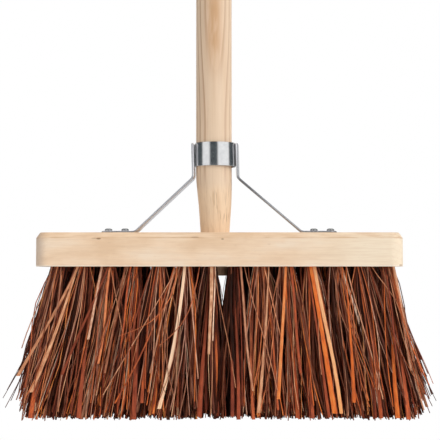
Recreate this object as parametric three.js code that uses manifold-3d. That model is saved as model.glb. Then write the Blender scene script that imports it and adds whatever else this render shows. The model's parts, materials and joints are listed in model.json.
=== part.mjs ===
// Wide floor broom: a wooden stock filled with three rows of plant-fibre tufts, a tapered wooden handle
// driven through its socket, and a plated steel collar carried over the stock by two screwed stays.
// Millimetres, +Z up, +X along the stock. The fibre tips stand on z = 0 and the front faces -Y.
import * as THREE from "three";
import { mergeVertices } from "three/addons/utils/BufferGeometryUtils.js";
import Module from "manifold-3d";

const wasm = await Module();
wasm.setup();

// Clearances and cutting
const fitGap = 0.3; // around a piece in its hole
const seatGap = 0.1; // between a piece and the face or socket that it is pressed against
const overcut = 1; // how far a cutter runs past the face that it opens
const mergeStep = 1e-4; // vertices closer than this are one

// Stock: a block with round corners in plan and a chamfer round its top edge
const stockLength = 281;
const stockDepth = 63;
const stockHeight = 26;
const stockCornerRadius = 11;
const stockChamferInset = 3;
const stockChamferHeight = 4.3;

// Tufts: bundles folded over a wire anchor and driven into blind holes
const trimLength = 118; // from the stock's underside to the fibre tips
const tuftsPerRow = 14; // in the front and back rows; the middle row stands between them
const rowPitch = 18;
const endMargin = 14.7; // mean distance from an end tuft's centre to the end of the stock
const rowOffset = 2.2; // the rows are drilled a little right of the stock's centre
const tuftHoleRadius = 5.5;
const tuftHoleDepth = 15;
const socketWall = 1.2; // least wood left between the handle's socket and a tuft hole
const fanReach = 24; // how far an end tuft's tip stands out past its root
const rowSpread = 10.5; // how far an outer row's tips stand out past their roots
const tuftGap = 0.6; // between the tips of neighbouring tufts
const fluteDepth = 0.12; // share of the radius lost in the grooves between fibres
const tipSquareness = 3; // exponent of a tip's outline: 2 is an ellipse
const tuftSides = 16;
const tuftLevels = 4; // rings along the free length

// Wire anchors: the bar in each fold bites into the wood on both sides of its hole
const anchorBite = 1.2;
const anchorThickness = 1.4;
const anchorHeight = 2.6;
const foldThickness = 3; // fibre over the anchor's bar

// Handle: round, tapered down to a tenon through the stock, and domed at the top
const handleRadius = 14;
const handleLength = 1200;
const handleOffset = -4.4; // the socket is bored a little left of the stock's centre
const taperAboveStock = 39.5;
const tenonRadius = 11.25;
const tenonBelowStock = 7; // its end shows under the stock
const domeHeight = 9;

// Collar and stays
const collarClearance = 1.05; // the collar passes over the handle loosely
const collarShift = 0.95; // and hangs to the right, with its left wall at the handle
const collarThickness = 0.9;
const collarHeight = 18.5;
const collarBottom = 52.3; // above the stock
const strapThickness = 1.9;
const strapWidth = 14;
const strapBend = 2.5; // length of straight strap taken up by each side of a bend
const strapCornerRadius = 4;
const footBend = 65.5; // from the stock's centre to the bend of a foot
const footLength = 26.5;
const tabBelowCollar = 8.8; // straight length of a stay under the collar

// Pan-head wood screws
const screwHeadRadius = 3;
const screwHeadHeight = 2.1;
const screwHeadRim = 0.8; // upright part of the head's side
const screwShankRadius = 1.6;
const screwLength = 10;
const screwPointLength = 3;
const recessWidth = 0.9;
const recessSpan = 3.6;
const recessDepth = 1;
const innerScrewFromBend = 8.5; // along the foot
const screwPitch = 13;

// Facets
const roundSides = 36;
const holeSides = 16;
const screwSides = 18;
const arcSteps = 6;

// Places worked out from the sizes above
const stockBottom = trimLength;
const stockTop = stockBottom + stockHeight;
const rowHalf = stockLength / 2 - endMargin;
const tuftPitch = (2 * rowHalf) / (tuftsPerRow - 1);
const tuftRootRadius = tuftHoleRadius - fitGap;
const tuftRootTop = stockBottom + tuftHoleDepth - fitGap;
const anchorMiddle = tuftRootTop - foldThickness - anchorHeight / 2;
const anchorLength = 2 * (tuftHoleRadius + anchorBite);
const socketRadius = tenonRadius + seatGap;
const handleBottom = stockBottom - tenonBelowStock;
const collarInnerRadius = handleRadius + collarClearance;
const collarOuterRadius = collarInnerRadius + collarThickness;
const collarCentre = handleOffset + collarShift;
const collarBase = stockTop + collarBottom;
const collarMiddle = collarBase + collarHeight / 2;
const innerScrewPlace = footBend + innerScrewFromBend; // from the stock's centre
const outerScrewPlace = innerScrewPlace + screwPitch;
const screwGrip = screwLength - strapThickness; // length of a stay screw in the wood

// Finishes
const wood = { color: 0xe6c69f, roughness: 0.6, metalness: 0 };
const plated = { color: 0xc3c8cc, roughness: 0.28, metalness: 1 };
const fibre = { color: 0x6b3d28, roughness: 0.55, metalness: 0 };

// A closed geometry as a solid that can be joined and cut.
function solidOf(geometry) {
  const bare = new THREE.BufferGeometry();
  bare.setAttribute("position", geometry.getAttribute("position"));
  bare.setIndex(geometry.index);
  const merged = mergeVertices(bare, mergeStep);
  const corners = merged.index.array;
  const kept = [];
  for (let i = 0; i < corners.length; i += 3) {
    const [a, b, c] = corners.slice(i, i + 3);
    if (a !== b && b !== c && c !== a) kept.push(a, b, c);
  }
  return new wasm.Manifold(
    new wasm.Mesh({
      numProp: 3,
      vertProperties: merged.attributes.position.array,
      triVerts: new Uint32Array(kept),
    }),
  );
}

function geometryOf(solid) {
  const { vertProperties, triVerts } = solid.getMesh();
  return new THREE.BufferGeometry()
    .setAttribute("position", new THREE.BufferAttribute(vertProperties, 3))
    .setIndex(new THREE.BufferAttribute(triVerts, 1));
}

function piece(name, solid, finish) {
  const mesh = new THREE.Mesh(geometryOf(solid), new THREE.MeshStandardMaterial(finish));
  mesh.name = name;
  return mesh;
}

// A profile of (radius, height) points spun about the Z axis.
function spun(points, sides) {
  return new THREE.LatheGeometry(points, sides).rotateX(Math.PI / 2);
}

// An upright round bar or cone between two heights.
function rod(bottomRadius, topRadius, bottom, top, sides) {
  return new THREE.CylinderGeometry(topRadius, bottomRadius, top - bottom, sides)
    .rotateX(Math.PI / 2)
    .translate(0, 0, (bottom + top) / 2);
}

function block(sizeX, sizeY, sizeZ) {
  return new THREE.BoxGeometry(sizeX, sizeY, sizeZ);
}

// A rectangle about the origin whose corners are round.
function roundedRectangle(length, width, radius) {
  const x = length / 2 - radius;
  const y = width / 2 - radius;
  const quarter = Math.PI / 2;
  return new THREE.Shape()
    .absarc(x, -y, radius, -quarter, 0)
    .absarc(x, y, radius, 0, quarter)
    .absarc(-x, y, radius, quarter, 2 * quarter)
    .absarc(-x, -y, radius, 2 * quarter, 3 * quarter);
}

// Root centres from one X to another, spaced as near the rows' pitch as they fit.
function run(from, to) {
  const steps = Math.round((to - from) / tuftPitch);
  const pitch = (to - from) / steps;
  return Array.from({ length: steps + 1 }, (_, i) => ({ x: from + i * pitch, pitch }));
}

// Root centres of the three rows. The middle one is in two runs: up to the handle's socket on its left,
// and on its right from the first place that lies between two outer tufts.
function tuftPlaces() {
  const clear = socketRadius + socketWall + tuftHoleRadius;
  const middleHalf = rowHalf - tuftPitch / 2;
  const placesPast = Math.ceil((handleOffset + clear - rowOffset) / tuftPitch);
  const outer = run(rowOffset - rowHalf, rowOffset + rowHalf);
  const middle = [
    ...run(rowOffset - middleHalf, handleOffset - clear),
    ...run(rowOffset + placesPast * tuftPitch, rowOffset + middleHalf),
  ];
  const rows = [
    { row: "front", y: -rowPitch, roots: outer },
    { row: "middle", y: 0, roots: middle },
    { row: "back", y: rowPitch, roots: outer },
  ];
  return rows.flatMap(({ row, y, roots }) =>
    roots.map(({ x, pitch }, i) => ({
      name: `tuft_${row}_${String(i + 1).padStart(2, "0")}`,
      x,
      y,
      pitch,
    })),
  );
}

// One tuft: a round root in its hole that flares and leans outwards to a flat, grooved tip.
function tuft({ x, y, pitch }) {
  const geometry = new THREE.CylinderGeometry(1, 1, 1, tuftSides, tuftLevels + 1);
  const points = geometry.getAttribute("position");
  const tipX = (x - rowOffset) * (1 + fanReach / rowHalf); // the tips stand under the stock's centre
  for (let i = 0; i < points.count; i++) {
    const level = Math.round((0.5 - points.getY(i)) * (tuftLevels + 1));
    const along = Math.max(0, (level - 1) / tuftLevels);
    const centreX = THREE.MathUtils.lerp(x, tipX, along);
    const centreY = y * (1 + (along * rowSpread) / rowPitch);
    const cellX = (pitch * (1 + (along * fanReach) / rowHalf) - tuftGap) / 2;
    const cellY = (rowPitch + along * rowSpread - tuftGap) / 2;
    const flare = 1 - (1 - along) ** 2;
    const halfX = THREE.MathUtils.lerp(tuftRootRadius, cellX, flare);
    const halfY = THREE.MathUtils.lerp(tuftRootRadius, cellY, flare);
    const across = points.getX(i);
    const deep = points.getZ(i);
    const power = THREE.MathUtils.lerp(2, tipSquareness, along);
    const square = (Math.abs(across) ** power + Math.abs(deep) ** power) ** (1 / power) || 1;
    const side = Math.round((Math.atan2(across, deep) * tuftSides) / (2 * Math.PI));
    const groove = side % 2 === 0 ? 1 : 1 - fluteDepth * flare;
    const height = level === 0 ? tuftRootTop : stockBottom - along * trimLength;
    points.setXYZ(
      i,
      centreX + (halfX * groove * across) / square,
      centreY - (halfY * groove * deep) / square,
      height,
    );
  }
  const anchor = block(anchorLength, anchorThickness, anchorHeight).translate(x, y, anchorMiddle);
  return solidOf(geometry).add(solidOf(anchor));
}

// What is cut from the stock for one tuft: its blind hole and the pocket of its anchor.
function tuftHole({ x, y }) {
  const top = stockBottom + tuftHoleDepth;
  const hole = rod(tuftHoleRadius, tuftHoleRadius, stockBottom - overcut, top, holeSides);
  const pocket = block(
    anchorLength + 2 * fitGap,
    anchorThickness + 2 * fitGap,
    anchorHeight + 2 * fitGap,
  );
  return solidOf(hole.translate(x, y, 0)).add(solidOf(pocket.translate(x, y, anchorMiddle)));
}

function handle() {
  const top = handleBottom + handleLength;
  const profile = new THREE.Path()
    .moveTo(0, handleBottom)
    .lineTo(tenonRadius, handleBottom)
    .lineTo(tenonRadius, stockTop)
    .lineTo(handleRadius, stockTop + taperAboveStock)
    .lineTo(handleRadius, top - domeHeight)
    .absellipse(0, top - domeHeight, handleRadius, domeHeight, 0, Math.PI / 2);
  return solidOf(spun(profile.getPoints(arcSteps / 2), roundSides))
    .translate(handleOffset, 0, 0)
    .subtract(collarScrewHole());
}

function stock(places) {
  const outline = roundedRectangle(stockLength, stockDepth, stockCornerRadius);
  const chamfered = new THREE.ExtrudeGeometry(outline, {
    depth: stockHeight,
    curveSegments: arcSteps,
    bevelThickness: stockChamferHeight,
    bevelSize: stockChamferInset,
    bevelOffset: -stockChamferInset,
    bevelSegments: 1,
  }).translate(0, 0, stockBottom - stockChamferHeight);
  const below = block(2 * stockLength, 2 * stockDepth, stockHeight);
  const socketEnds = [stockBottom - overcut, stockTop + overcut];
  const socket = rod(socketRadius, socketRadius, ...socketEnds, roundSides).translate(handleOffset, 0, 0);
  const cutters = [
    solidOf(below.translate(0, 0, stockBottom - stockHeight / 2)),
    solidOf(socket),
    ...places.map(tuftHole),
    ...screwHoles(stockTop - screwGrip - fitGap, stockTop + overcut),
  ];
  return cutters.reduce((body, cutter) => body.subtract(cutter), solidOf(chamfered));
}

// A ring round the handle, with a hole at the back for its screw.
function collar() {
  const profile = new THREE.Path()
    .moveTo(collarInnerRadius, collarBase)
    .lineTo(collarOuterRadius, collarBase)
    .lineTo(collarOuterRadius, collarBase + collarHeight)
    .lineTo(collarInnerRadius, collarBase + collarHeight)
    .closePath();
  return solidOf(spun(profile.getPoints(), roundSides))
    .translate(collarCentre, 0, 0)
    .subtract(collarScrewHole());
}

// Two outlines, either side of a line of points, joined into the side view of a bent strap.
function strapOutline(line, thickness) {
  const directions = line.slice(1).map((point, i) => point.clone().sub(line[i]).normalize());
  const sideways = line.map((_, i) => {
    const before = directions[Math.max(0, i - 1)];
    const after = directions[Math.min(i, directions.length - 1)];
    const normal = new THREE.Vector2(-before.y - after.y, before.x + after.x).normalize();
    return normal.multiplyScalar(thickness / 2 / normal.dot(new THREE.Vector2(-after.y, after.x)));
  });
  const left = line.map((point, i) => point.clone().add(sideways[i]));
  const right = line.map((point, i) => point.clone().sub(sideways[i]));
  return new THREE.Shape([...left, ...right.reverse()]);
}

// A stay on one side (-1 left, 1 right): foot, slanting arm and upright tab beside the collar.
function stay(side) {
  const footHeight = stockTop + seatGap + strapThickness / 2;
  const tabX = collarCentre + side * (collarOuterRadius + seatGap + strapThickness / 2);
  const corners = [
    new THREE.Vector2(side * (footBend + footLength), footHeight),
    new THREE.Vector2(side * footBend, footHeight),
    new THREE.Vector2(tabX, collarBase - tabBelowCollar),
    new THREE.Vector2(tabX, collarBase + collarHeight),
  ];
  const bendEnd = (corner, towards) =>
    corner.clone().add(towards.clone().sub(corner).setLength(strapBend));
  const line = new THREE.Path().moveTo(corners[0].x, corners[0].y);
  for (const i of [1, 2]) {
    const start = bendEnd(corners[i], corners[i - 1]);
    const end = bendEnd(corners[i], corners[i + 1]);
    line.lineTo(start.x, start.y).quadraticCurveTo(corners[i].x, corners[i].y, end.x, end.y);
  }
  line.lineTo(corners[3].x, corners[3].y);
  const bent = new THREE.ExtrudeGeometry(strapOutline(line.getPoints(arcSteps), strapThickness), {
    depth: strapWidth,
    bevelEnabled: false,
  })
    .rotateX(Math.PI / 2)
    .translate(0, strapWidth / 2, 0);
  // The plan view of the strap rounds the corners of its foot.
  const reach = footBend + footLength;
  const plan = new THREE.ExtrudeGeometry(
    roundedRectangle(2 * reach, strapWidth, strapCornerRadius),
    { depth: stockTop, curveSegments: arcSteps, bevelEnabled: false },
  ).translate(0, 0, stockTop - overcut);
  const rounded = solidOf(bent).intersect(solidOf(plan));
  const holeTop = stockTop + seatGap + strapThickness + overcut;
  return screwHoles(stockTop - overcut, holeTop).reduce((body, hole) => body.subtract(hole), rounded);
}

// A pan-head screw standing on z = 0, point down, with a cross recess in its head.
function screw() {
  const profile = new THREE.Path()
    .moveTo(0, -screwLength)
    .lineTo(screwShankRadius, screwPointLength - screwLength)
    .lineTo(screwShankRadius, 0)
    .lineTo(screwHeadRadius, 0)
    .lineTo(screwHeadRadius, screwHeadRim)
    .absellipse(0, screwHeadRim, screwHeadRadius, screwHeadHeight - screwHeadRim, 0, Math.PI / 2);
  const recess = [
    block(recessSpan, recessWidth, 2 * recessDepth),
    block(recessWidth, recessSpan, 2 * recessDepth),
  ];
  return recess.reduce(
    (body, slot) => body.subtract(solidOf(slot.translate(0, 0, screwHeadHeight))),
    solidOf(spun(profile.getPoints(arcSteps / 2), screwSides)),
  );
}

// The four screws that hold the feet of the stays to the stock.
function stayScrews() {
  return [
    { name: "left_outer_screw", x: -outerScrewPlace },
    { name: "left_inner_screw", x: -innerScrewPlace },
    { name: "right_inner_screw", x: innerScrewPlace },
    { name: "right_outer_screw", x: outerScrewPlace },
  ];
}

// Holes for those screws between two heights, through the feet or into the wood.
function screwHoles(bottom, top) {
  const radius = screwShankRadius + fitGap;
  return stayScrews().map(({ x }) =>
    solidOf(rod(radius, radius, bottom, top, holeSides).translate(x, 0, 0)),
  );
}

// Turns a screw that stands on z = 0 to point into the handle through the back of the collar.
function placedAtCollar(solid) {
  return solid
    .rotate([-90, 0, 0])
    .translate([collarCentre, collarOuterRadius + seatGap, collarMiddle]);
}

function collarScrewHole() {
  const radius = screwShankRadius + fitGap;
  const reach = screwLength + fitGap;
  return placedAtCollar(solidOf(rod(radius, radius, -reach, overcut, holeSides)));
}

const broom = new THREE.Group();
const places = tuftPlaces();
broom.add(piece("handle", handle(), wood));
broom.add(piece("stock", stock(places), wood));
broom.add(piece("collar", collar(), plated));
broom.add(piece("left_stay", stay(-1), plated));
broom.add(piece("right_stay", stay(1), plated));
for (const { name, x } of stayScrews()) {
  const mesh = piece(name, screw(), plated);
  mesh.position.set(x, 0, stockTop + strapThickness + 2 * seatGap);
  broom.add(mesh);
}
broom.add(piece("collar_screw", placedAtCollar(screw()), plated));
for (const place of places) broom.add(piece(place.name, tuft(place), fibre));

export default broom;
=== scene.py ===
import json
import math
import random

import bmesh
import bpy
import numpy as np
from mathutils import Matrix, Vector


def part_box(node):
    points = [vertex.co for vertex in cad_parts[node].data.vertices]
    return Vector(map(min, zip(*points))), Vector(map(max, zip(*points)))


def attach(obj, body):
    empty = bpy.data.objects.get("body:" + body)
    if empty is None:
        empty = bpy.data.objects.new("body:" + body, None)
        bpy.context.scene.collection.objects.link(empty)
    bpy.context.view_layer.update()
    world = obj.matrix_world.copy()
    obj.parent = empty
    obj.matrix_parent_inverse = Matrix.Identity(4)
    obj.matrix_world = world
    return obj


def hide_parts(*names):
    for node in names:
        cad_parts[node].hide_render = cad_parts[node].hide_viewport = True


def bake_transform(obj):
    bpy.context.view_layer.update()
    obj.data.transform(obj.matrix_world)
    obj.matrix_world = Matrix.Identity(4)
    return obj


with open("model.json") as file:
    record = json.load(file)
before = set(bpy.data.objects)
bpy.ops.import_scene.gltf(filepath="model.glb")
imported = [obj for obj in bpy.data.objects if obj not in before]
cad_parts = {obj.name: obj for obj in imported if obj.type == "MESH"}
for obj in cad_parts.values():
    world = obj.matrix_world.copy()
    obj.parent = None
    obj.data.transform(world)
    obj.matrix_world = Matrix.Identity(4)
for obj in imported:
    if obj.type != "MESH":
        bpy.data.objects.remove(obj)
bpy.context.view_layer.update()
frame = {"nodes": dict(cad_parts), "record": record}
head = "broom_head"
print("frame loaded,", len(frame["nodes"]), "nodes")


# Small helpers for working by hand

def pickNone():
    if bpy.context.object and bpy.context.object.mode != "OBJECT":
        bpy.ops.object.mode_set(mode="OBJECT")
    bpy.ops.object.select_all(action="DESELECT")


def pickOnly(piece):
    pickNone()
    piece.select_set(True)
    bpy.context.view_layer.objects.active = piece
    return piece


def startEdit(piece, kind="FACE"):
    pickOnly(piece)
    bpy.ops.object.mode_set(mode="EDIT")
    bpy.ops.mesh.select_mode(type=kind)
    bpy.ops.mesh.select_all(action="DESELECT")


def endEdit():
    bpy.ops.object.mode_set(mode="OBJECT")


def pick(piece, kind, test):  # kind is verts, edges or faces
    shape = bmesh.from_edit_mesh(piece.data)
    for item in getattr(shape, kind):
        item.select_set(bool(test(item)))
    shape.select_flush_mode()
    bmesh.update_edit_mesh(piece.data)


def pushUp(step):
    bpy.ops.mesh.extrude_region_move(TRANSFORM_OT_translate={"value": step})


def useModifier(piece, kind, **settings):
    pickOnly(piece)
    modifier = piece.modifiers.new(kind.title(), kind)
    for name, value in settings.items():
        setattr(modifier, name, value)
    bpy.ops.object.modifier_apply(modifier=modifier.name)


def easeEdges(piece, width, segments, angle=50):
    useModifier(piece, "BEVEL", width=width, segments=segments, limit_method="ANGLE",
                angle_limit=math.radians(angle))


def settle(piece, name, finish, nodes, angle):
    pickOnly(piece)
    piece.name = name
    bpy.ops.object.transform_apply(location=True, rotation=True, scale=True)
    bpy.ops.object.shade_smooth_by_angle(angle=math.radians(angle))
    useModifier(piece, "WEIGHTED_NORMAL", keep_sharp=True)  # large faces keep flat reflections
    piece.data.materials.clear()
    piece.data.materials.append(finish)
    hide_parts(*nodes)
    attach(piece, head)


# Camera, level with the underside of the stock and aimed a little up

cameraSetup = {
    "place": (0.0004, -0.95, 0.113),
    "aim": (0.0004, 0.0, 0.1546),
    "focalPixels": 1212,
    "framePixels": 440,
    "sensor": 36,
    "sight": 100,
}


def addCamera():
    pickNone()
    place = Vector(cameraSetup["place"])
    towards = Vector(cameraSetup["aim"]) - place
    bpy.ops.object.camera_add(location=place, rotation=towards.to_track_quat("-Z", "Y").to_euler())
    camera = bpy.context.object
    camera.data.sensor_width = cameraSetup["sensor"]
    camera.data.lens = cameraSetup["sensor"] * cameraSetup["focalPixels"] / cameraSetup["framePixels"]
    camera.data.clip_end = cameraSetup["sight"]
    bpy.context.scene.camera = camera


addCamera()
print("camera placed")


# Shader maths: a socket that takes part in Python expressions

class Wire:
    def __init__(self, tree, socket=None):
        self.tree = tree
        self.socket = socket

    def node(self, kind, settings=None, values=None, output=0):
        made = self.tree.nodes.new(kind)
        for name, value in (settings or {}).items():
            if name == "stops":
                ramp = made.color_ramp.elements
                while len(ramp) < len(value):
                    ramp.new(1)
                for stop, (place, colour) in zip(ramp, value):
                    stop.position = place
                    stop.color = (*colour, 1)
            else:
                setattr(made, name, value)
        for name, value in (values or {}).items():
            if isinstance(value, Wire):
                self.tree.links.new(value.socket, made.inputs[name])
            else:
                made.inputs[name].default_value = value
        return Wire(self.tree, made.outputs[output] if made.outputs else None)

    def maths(self, operation, first, second=0.0):
        return self.node("ShaderNodeMath", {"operation": operation}, {0: first, 1: second})

    def __add__(self, other):
        return self.maths("ADD", self, other)

    def __sub__(self, other):
        return self.maths("SUBTRACT", self, other)

    def __rsub__(self, other):
        return self.maths("SUBTRACT", other, self)

    def __mul__(self, other):
        return self.maths("MULTIPLY", self, other)

    def __truediv__(self, other):
        return self.maths("DIVIDE", self, other)

    def __pow__(self, other):
        return self.maths("POWER", self, other)

    def fraction(self):
        return self.maths("FRACT", self)

    def window(self, low, high, start=0.0, end=1.0):  # eases from start to end between low and high
        return self.node(
            "ShaderNodeMapRange",
            {"interpolation_type": "SMOOTHSTEP"},
            {"Value": self, "From Min": low, "From Max": high, "To Min": start, "To Max": end},
        )

    def colours(self, *stops):
        return self.node("ShaderNodeValToRGB", {"stops": stops}, {"Fac": self})

    def mixed(self, first, second, how="MIX"):  # self is the share of the second colour
        return self.node(
            "ShaderNodeMix",
            {"data_type": "RGBA", "blend_type": how},
            {0: self, 6: first, 7: second},
            output=2,
        )


def newMaterial(name):
    material = bpy.data.materials.new(name)
    material.use_nodes = True
    material.node_tree.nodes.clear()
    return material, Wire(material.node_tree)


def noise(paint, place, scale, detail=3.0, rough=0.5):
    return paint.node(
        "ShaderNodeTexNoise",
        {"noise_dimensions": "3D"},
        {"Vector": place, "Scale": scale, "Detail": detail, "Roughness": rough},
    )


def objectPlace(paint, middle=(0, 0, 0), stretch=(1, 1, 1)):
    at = paint.node("ShaderNodeTexCoord", output="Object")
    return paint.node(
        "ShaderNodeMapping",
        {"vector_type": "TEXTURE"},
        {"Vector": at, "Location": middle, "Scale": stretch},
    )


def axesOf(paint, place):
    return [paint.node("ShaderNodeSeparateXYZ", values={0: place}, output=i) for i in range(3)]


def bumped(paint, height, strength, distance):
    values = {"Strength": strength, "Distance": distance, "Height": height}
    return paint.node("ShaderNodeBump", values=values)


def finishWith(paint, **sockets):
    names = {key: key.replace("_", " ").title().replace("Ior", "IOR") for key in sockets}
    values = {names[key]: value for key, value in sockets.items()}
    shader = paint.node("ShaderNodeBsdfPrincipled", values=values)
    paint.node("ShaderNodeOutputMaterial", values={"Surface": shader})


# Turned softwood of the handle: growth rings cut at a slant, so they run as long tongues

def turnedWood():
    grain = {
        "middle": (-0.0044, 0, 0),
        "ringStep": 0.0036,
        "ringBend": (0.225, 0.325, 0.0037),  # between these heights the rings go back by this much
        "ringTilt": 0.09,
        "ringStart": 0.01207,
        "taperTop": 0.186,
        "heartRise": (0.258, 0.296),  # the tan patch at the heart fades in and out at these heights
        "heartFall": (0.350, 0.318),
        "heartHalf": (0.009, 0.001),  # and towards these distances from the middle line
        "stockUnderside": 0.118,
    }
    material, paint = newMaterial("turnedWood")
    long = objectPlace(paint, grain["middle"], (1, 1, 9))
    x, y, z = axesOf(paint, objectPlace(paint, grain["middle"]))
    sway = noise(paint, long, 60, 2) - 0.5
    low, high, back = grain["ringBend"]
    depth = y - z.window(low, high) * back - x * grain["ringTilt"] + sway * 0.0012
    ring = ((depth + grain["ringStart"]) / grain["ringStep"]).fraction()
    late = ring.window(0.45, 0.03) + ring.window(0.96, 1.0)
    late = late * z.window(grain["taperTop"] - 0.01, grain["taperTop"] + 0.012, 0.04, 1.0)
    late = late * paint.maths("ABSOLUTE", x).window(0.004, 0.0075, 0.15, 1.0)
    late = late * x.window(0.0, 0.004, 1.0, 0.7)
    fibres = noise(paint, objectPlace(paint, grain["middle"], (1, 1, 45)), 1400, 3, 0.6)
    patches = noise(paint, long, 24, 2)
    taper = z.window(grain["taperTop"], grain["taperTop"] - 0.014)
    rightHalf = x.window(-0.002, 0.004, 0.35, 1.0)
    flecks = noise(paint, objectPlace(paint, (0.3, 0.1, 0), (1, 1, 15)), 950, 1)
    flecks = flecks.window(0.58, 0.70) * taper * rightHalf + flecks.window(0.72, 0.8) * 0.4
    streaks = noise(paint, objectPlace(paint, (0.12, 0, 0.4), (1, 1, 30)), 330, 2).window(0.5, 0.72)
    early = patches.colours((0.3, (0.83, 0.615, 0.432)), (0.7, (0.88, 0.692, 0.515)))
    early = (taper * 0.7).mixed(early, (0.96, 0.71, 0.475, 1))
    outer, inner = grain["heartHalf"]
    heart = z.window(*grain["heartRise"]) * z.window(*grain["heartFall"])
    heart = heart * x.window(-outer, -inner) * x.window(outer, inner)
    mottle = noise(paint, objectPlace(paint, (0.2, 0, 0.086), (1, 1, 7)), 330, 2)
    heart = heart * mottle.window(0.3, 0.62, 0.55, 1.0)
    early = (heart * 0.85).mixed(early, (0.63, 0.35, 0.17, 1))
    wood = (late * 0.75).mixed(early, (0.52, 0.285, 0.165, 1))
    wood = (fibres.window(0.35, 0.7) * 0.2).mixed(wood, (0.60, 0.39, 0.23, 1))
    wood = (streaks * (taper * 0.2 + 0.2)).mixed(wood, (0.66, 0.41, 0.22, 1))
    wood = (flecks * 0.55).mixed(wood, (0.36, 0.19, 0.09, 1))
    shadeAndDust = z.window(grain["stockUnderside"] + 0.001, grain["stockUnderside"] - 0.001)
    wood = (shadeAndDust * 0.92).mixed(wood, (0.46, 0.25, 0.15, 1))  # the end below the stock, darker: painted shade, and dust on the end grain
    relief = fibres * 0.6 + late * 0.25 - flecks * 0.5
    finishWith(
        paint,
        base_color=wood,
        roughness=fibres.window(0.3, 0.8, 0.5, 0.62),
        specular_ior_level=0.3,
        normal=bumped(paint, relief, 0.22, 0.0004),
    )
    return material


# Sanded block of the stock: pale wood with its grain along X and a few dark marks

def stockWood():
    marks = [  # centre along X, height, half length, half height and depth of colour
        (-0.0916, 0.1391, 0.0019, 0.0007, 0.8),
        (-0.0950, 0.1392, 0.0024, 0.0004, 0.35),
        (-0.0187, 0.1401, 0.0034, 0.0007, 0.35),
        (0.0023, 0.1388, 0.0011, 0.0007, 0.5),
        (0.1380, 0.1190, 0.0016, 0.0005, 0.6),
    ]
    shoulder = 0.1397  # where the chamfer starts
    underside = 0.118
    material, paint = newMaterial("stockWood")
    x, y, z = axesOf(paint, objectPlace(paint))
    along = objectPlace(paint, stretch=(14, 1, 1))
    fineAlong = objectPlace(paint, stretch=(26, 1, 1))
    sway = noise(paint, along, 130, 2) - 0.5
    ring = (z * 210 + y * 95 + x * 2.2 + sway * 1.6).fraction()
    late = ring.window(0.5, 0.97) * ring.window(1.0, 0.95)
    fibres = noise(paint, fineAlong, 1700, 3, 0.6)
    patches = noise(paint, objectPlace(paint, (0.11, 0.02, 0.03), (3.5, 1, 1)), 60, 4, 0.6)
    rays = noise(paint, objectPlace(paint, (0.05, 0, 0), (4, 1, 1)), 760, 1).window(0.68, 0.8)
    body = patches.colours(
        (0.34, (0.84, 0.59, 0.385)),
        (0.5, (0.93, 0.70, 0.495)),
        (0.66, (0.95, 0.765, 0.585)),
    )
    body = (x.window(-0.131, -0.138) * 0.45).mixed(body, (0.62, 0.47, 0.39, 1))  # painted shade: the left end, turned from the light, is darker and greyer
    body = (x.window(0.045, 0.115) * 0.65).mixed(body, (0.98, 0.86, 0.67, 1))  # paler towards the right
    wood = (late * 0.08).mixed(body, (0.64, 0.40, 0.23, 1))
    wood = (fibres.window(0.4, 0.72) * 0.2).mixed(wood, (0.68, 0.45, 0.28, 1))
    wood = (rays * 0.26).mixed(wood, (0.60, 0.38, 0.22, 1))
    shoulderBlotches = noise(paint, objectPlace(paint, (0.3, 0, 0), (7, 1, 1)), 420, 3).window(0.35, 0.65, 0.2, 0.7)
    # painted shade: the chamfer, facing up, is darker and more orange, in blotches
    wood = (z.window(shoulder - 0.0003, shoulder + 0.0003) * shoulderBlotches).mixed(wood, (0.74, 0.49, 0.30, 1))
    line = z.window(shoulder - 0.0006, shoulder) * z.window(shoulder + 0.0006, shoulder)
    wood = (line * shoulderBlotches * 0.9).mixed(wood, (0.56, 0.32, 0.16, 1))
    # painted highlight: a pale band along the bottom edge
    wood = (z.window(underside + 0.0014, underside + 0.0006) * 0.5).mixed(wood, (0.97, 0.86, 0.72, 1))
    edge = noise(paint, objectPlace(paint, (0.2, 0, 0)), 900, 2) * 0.9
    for markX, markZ, halfLength, halfHeight, strength in marks:
        away = (((x - markX) / halfLength) ** 2 + ((z - markZ) / halfHeight) ** 2) * (edge + 0.55)
        wood = (away.window(1.3, 0.3) * strength).mixed(wood, (0.26, 0.125, 0.05, 1))
    relief = fibres * 0.6 + late * 0.1 - rays * 0.3
    finishWith(
        paint,
        base_color=wood,
        roughness=fibres.window(0.3, 0.8, 0.5, 0.64),
        specular_ior_level=0.3,
        normal=bumped(paint, relief, 0.2, 0.0003),
    )
    return material


# Bright zinc plating of the collar and screws, and the duller plating of the stays

def brightZinc(name, dark):
    material, paint = newMaterial(name)
    cloud = noise(paint, objectPlace(paint), 260, 3)
    spots = noise(paint, objectPlace(paint), 2600, 2)
    tone = cloud.colours((0.3, (0.61, 0.615, 0.625)), (0.7, (0.68, 0.685, 0.69)))
    tone = (spots.window(0.5, 0.8) * 0.2).mixed(tone, (0.52, 0.53, 0.55, 1))
    finishWith(
        paint,
        base_color=(spots.window(0.3, 0.6) * dark + dark).mixed(tone, (0.09, 0.085, 0.08, 1)),
        metallic=1.0,
        roughness=cloud.window(0.2, 0.8, 0.11, 0.17),
    )
    return material


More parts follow.
